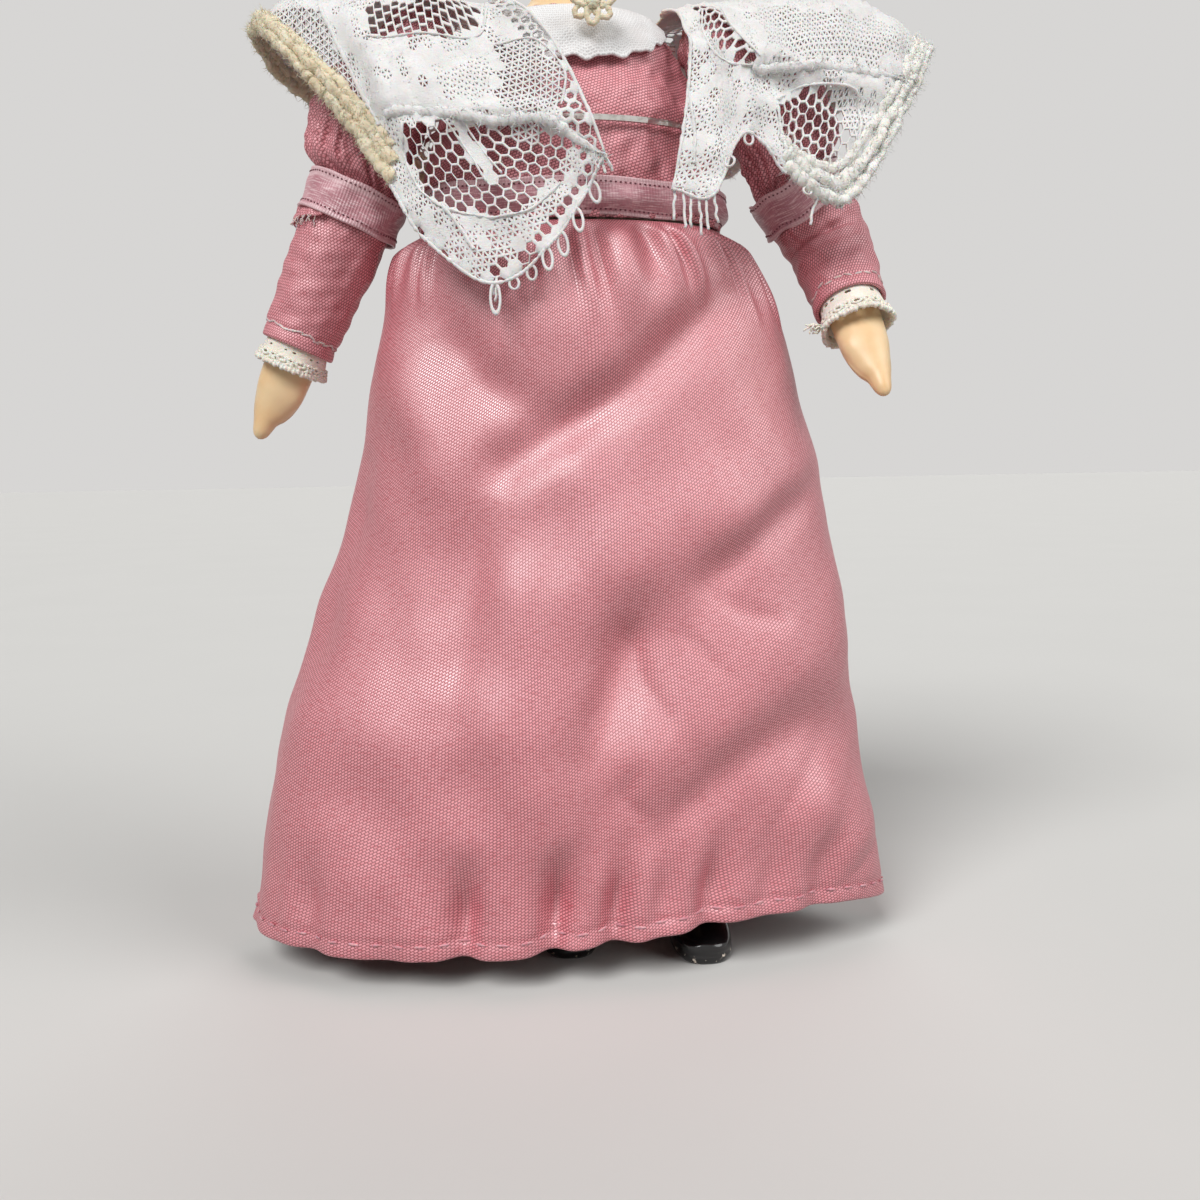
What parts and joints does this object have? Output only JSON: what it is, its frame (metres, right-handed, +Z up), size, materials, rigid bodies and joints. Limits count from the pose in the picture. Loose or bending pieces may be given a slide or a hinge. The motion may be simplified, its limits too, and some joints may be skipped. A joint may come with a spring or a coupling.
{
  "type": "miniature costume doll",
  "caption": "Small standing costume doll in a long satin gown with puffed sleeves and a wide lace collar; bisque head, hands and shoes on a bendable wired cloth body.",
  "frame": {"origin": "middle of the base, on the floor under the shoes", "axes": "+Z up, the doll faces -Y, its own left is +X"},
  "size_m": [0.082, 0.0358, 0.143],
  "materials": {
    "bisque": "matt bisque, shoes painted gloss black",
    "hair": "brushed wig fibre",
    "calico": "stuffed cotton",
    "linen": "plain weave",
    "lace": "cotton lace",
    "cream": "soft thread",
    "satin": "satin weave",
    "ribbon": "woven ribbon",
    "steel": "drawn wire"
  },
  "bodies": {
    "torso": {"shoulder_head": "bisque", "hair_cap": "hair", "hair_bun": "hair", "torso_pad": "calico", "spine_wire": "steel", "shoulder_wire": "steel", "bodice": "satin", "bib": "linen", "throat_bow": "cream", "waist_ribbon": "ribbon", "chest_wire": "steel", "right_collar": "lace", "left_collar": "lace"},
    "hips": {"pelvis_pad": "calico", "skirt": "satin"},
    "right_arm": {"right_upper_arm": "calico", "right_arm_wire": "steel", "right_puff_sleeve": "satin", "right_sleeve_ribbon": "ribbon"},
    "right_fore": {"right_lower_sleeve": "satin", "right_cuff_lace": "lace", "right_forearm": "bisque"},
    "right_leg": {"right_thigh": "calico", "right_leg_wire": "steel", "right_drawers_leg": "linen"},
    "right_shin": {"right_lower_leg": "bisque"},
    "left_arm": {"left_upper_arm": "calico", "left_arm_wire": "steel", "left_puff_sleeve": "satin", "left_sleeve_ribbon": "ribbon"},
    "left_fore": {"left_lower_sleeve": "satin", "left_cuff_lace": "lace", "left_forearm": "bisque"},
    "left_leg": {"left_thigh": "calico", "left_leg_wire": "steel", "left_drawers_leg": "linen"},
    "left_shin": {"left_lower_leg": "bisque"}
  },
  "joints": [
    {"name": "hip_bend", "type": "hinge", "parent": "torso", "child": "hips", "pos_m": [-0.0009, -0.00047, 0.079], "axis": [-1, 0, 0], "range_deg": [0, 80], "deforming": ["skirt"]},
    {"name": "right_shoulder", "type": "hinge", "parent": "torso", "child": "right_arm", "pos_m": [-0.01802, -0.00047, 0.106], "axis": [0, 1, 0], "range_deg": [0, 64], "deforming": ["right_collar"]},
    {"name": "right_elbow", "type": "hinge", "parent": "right_arm", "child": "right_fore", "pos_m": [-0.02859, -0.00047, 0.08225], "axis": [-0.9135, 0, 0.4067], "range_deg": [0, 100], "deforming": ["right_lower_sleeve"]},
    {"name": "right_hip", "type": "hinge", "parent": "hips", "child": "right_leg", "pos_m": [-0.0059, -0.00047, 0.0687], "axis": [-1, 0, 0], "range_deg": [-6, 6]},
    {"name": "right_knee", "type": "hinge", "parent": "right_leg", "child": "right_shin", "pos_m": [-0.00462, -0.00047, 0.0395], "axis": [1, 0, 0], "range_deg": [0, 12]},
    {"name": "left_shoulder", "type": "hinge", "parent": "torso", "child": "left_arm", "pos_m": [0.01622, -0.00047, 0.106], "axis": [0, -1, 0], "range_deg": [0, 57], "deforming": ["left_collar"]},
    {"name": "left_elbow", "type": "hinge", "parent": "left_arm", "child": "left_fore", "pos_m": [0.02961, -0.00047, 0.08371], "axis": [-0.9877, 0, -0.1564], "range_deg": [-34, 66], "deforming": ["left_lower_sleeve"]},
    {"name": "left_hip", "type": "hinge", "parent": "hips", "child": "left_leg", "pos_m": [0.0081, -0.00047, 0.0687], "axis": [-1, 0, 0], "range_deg": [-6, 6]},
    {"name": "left_knee", "type": "hinge", "parent": "left_leg", "child": "left_shin", "pos_m": [0.01014, -0.00047, 0.0395], "axis": [1, 0, 0], "range_deg": [0, 12]}
  ]
}
